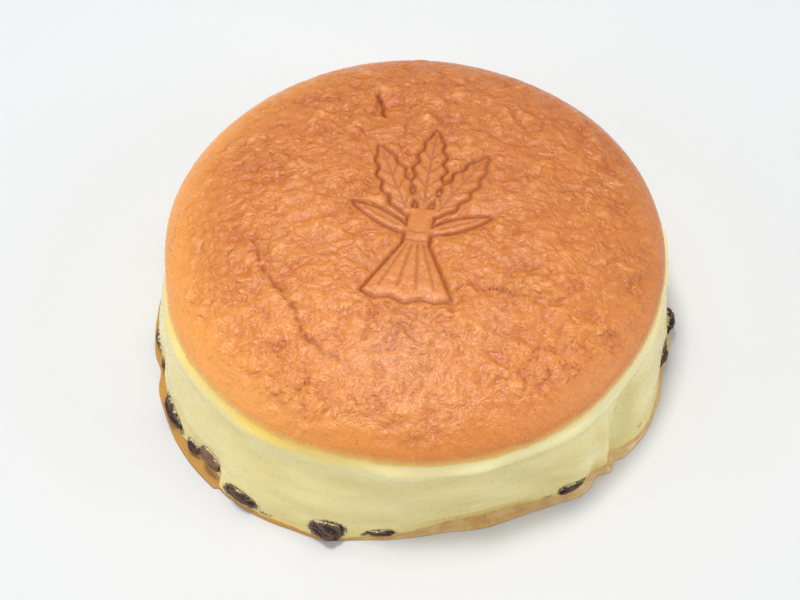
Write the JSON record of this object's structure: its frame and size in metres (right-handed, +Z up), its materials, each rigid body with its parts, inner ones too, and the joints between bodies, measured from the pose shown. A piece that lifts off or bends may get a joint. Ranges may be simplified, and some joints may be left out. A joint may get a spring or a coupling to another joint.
{
  "type": "jiggly cheesecake",
  "caption": "Round souffle cheesecake with a domed browned crust branded with a wheat sheaf, a pale soft wall, and raisins in the foot of the wall.",
  "frame": {"origin": "centre of the object's box in X and Y, at the height of the flat underside", "axes": "+Z up through the dome; -Y is the front, the side that the branded sheaf's stalks point to; +X to the right seen from the front"},
  "size_m": [0.1862, 0.1832, 0.0589],
  "materials": {
    "cake": "satin browned crust over pale yellow soft crumb",
    "raisin": "dull sheen, wrinkled dark skin"
  },
  "bodies": {
    "root": {"cake": "cake", "raisin_01": "raisin", "raisin_02": "raisin", "raisin_03": "raisin", "raisin_04": "raisin", "raisin_05": "raisin", "raisin_06": "raisin", "raisin_07": "raisin", "raisin_08": "raisin", "raisin_09": "raisin", "raisin_10": "raisin", "raisin_11": "raisin", "raisin_12": "raisin", "raisin_13": "raisin", "raisin_14": "raisin", "raisin_15": "raisin", "raisin_16": "raisin", "raisin_17": "raisin", "raisin_18": "raisin"}
  },
  "joints": []
}
